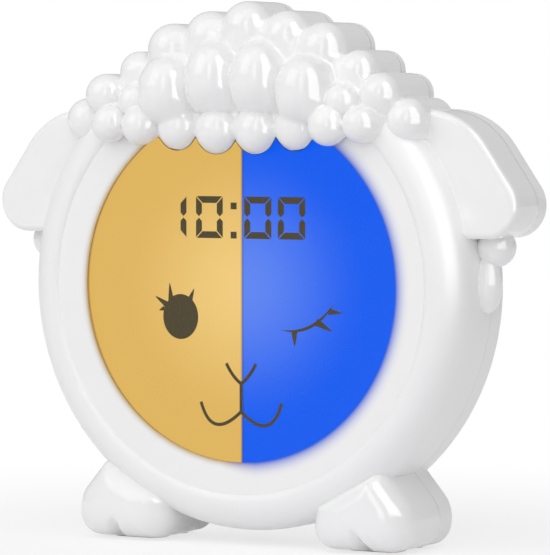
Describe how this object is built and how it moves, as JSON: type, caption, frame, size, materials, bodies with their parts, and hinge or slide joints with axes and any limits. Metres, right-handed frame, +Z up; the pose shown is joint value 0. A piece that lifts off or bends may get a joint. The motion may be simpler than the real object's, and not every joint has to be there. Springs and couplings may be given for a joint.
{
  "type": "kids alarm clock with night light",
  "caption": "Sheep-shaped bedside sleep-trainer clock: hollow gloss shell with wool curls, ears and feet round a two-colour backlit display, keys and battery door behind.",
  "frame": {"origin": "on the table, under the middle of the clock's bounding box", "axes": "+X to the clock's left ear as seen from the front (right in the front view), +Y to the back, +Z up"},
  "size_m": [0.1744, 0.0554, 0.1607],
  "materials": {
    "casing_white": "glossy moulded",
    "ring_white": "glossy moulded",
    "foot_rubber": "matte",
    "screw_steel": "zinc plated",
    "window_clear": "clear polished",
    "lcd_glass": "clear, dark segments",
    "diffuser_amber": "milky, lit from behind",
    "diffuser_blue": "milky, lit from behind",
    "box_white": "matte moulded",
    "board_green": "solder mask",
    "lamp_amber": "resin lens",
    "lamp_blue": "resin lens",
    "ribbon_film": "polyimide film",
    "connector_black": "matte moulded",
    "chip_black": "matte resin",
    "can_aluminium": "bright can",
    "shell_steel": "bright pressed sheet",
    "cone_paper": "pressed paper",
    "magnet_ferrite": "ground ferrite",
    "contact_nickel": "nickel plated",
    "cell_jacket": "plain jacket"
  },
  "bodies": {
    "clock": {"front_shell": "casing_white", "rear_shell": "casing_white", "bezel_ring": "ring_white", "foot_pads": "foot_rubber", "case_screws": "screw_steel", "light_box_screws": "screw_steel", "led_board_screws": "screw_steel", "main_board_screws": "screw_steel", "display_window": "window_clear", "lcd_panel": "lcd_glass", "day_diffuser": "diffuser_amber", "night_diffuser": "diffuser_blue", "light_box": "box_white", "led_board": "board_green", "main_board": "board_green", "amber_leds": "lamp_amber", "blue_leds": "lamp_blue", "lcd_ribbon": "ribbon_film", "ribbon_plug": "connector_black", "board_header": "connector_black", "clock_chip": "chip_black", "crystal": "shell_steel", "capacitors": "can_aluminium", "tact_switches": "connector_black", "lock_switch": "shell_steel", "power_socket": "shell_steel", "speaker_frame": "shell_steel", "speaker_cone": "cone_paper", "speaker_magnet": "magnet_ferrite", "contact_plates": "contact_nickel", "contact_springs": "contact_nickel", "battery_cell_1": "cell_jacket", "battery_cell_2": "cell_jacket", "battery_cell_3": "cell_jacket"},
    "door": {"battery_door": "casing_white", "door_screw": "screw_steel"},
    "lock_slider": {"lock_knob": "casing_white"},
    "light_key": {"button_light": "casing_white"},
    "alarm_key": {"button_alarm": "casing_white"},
    "set_key": {"button_set": "casing_white"},
    "down_key": {"button_down": "casing_white"},
    "up_key": {"button_up": "casing_white"}
  },
  "joints": [
    {"name": "door_lift", "type": "slide", "parent": "clock", "child": "door", "axis": [0, 1, 0], "range_m": [0, 0.025]},
    {"name": "lock_slide", "type": "slide", "parent": "clock", "child": "lock_slider", "axis": [0, 0, 1], "range_m": [0, 0.004]},
    {"name": "light_press", "type": "slide", "parent": "clock", "child": "light_key", "axis": [0, -1, 0], "range_m": [0, 0.0007], "stiffness_N_per_m": 800},
    {"name": "alarm_press", "type": "slide", "parent": "clock", "child": "alarm_key", "axis": [0, -1, 0], "range_m": [0, 0.0007], "stiffness_N_per_m": 800},
    {"name": "set_press", "type": "slide", "parent": "clock", "child": "set_key", "axis": [0, -1, 0], "range_m": [0, 0.0007], "stiffness_N_per_m": 800},
    {"name": "down_press", "type": "slide", "parent": "clock", "child": "down_key", "axis": [0, -1, 0], "range_m": [0, 0.0007], "stiffness_N_per_m": 800},
    {"name": "up_press", "type": "slide", "parent": "clock", "child": "up_key", "axis": [0, -1, 0], "range_m": [0, 0.0007], "stiffness_N_per_m": 800}
  ]
}
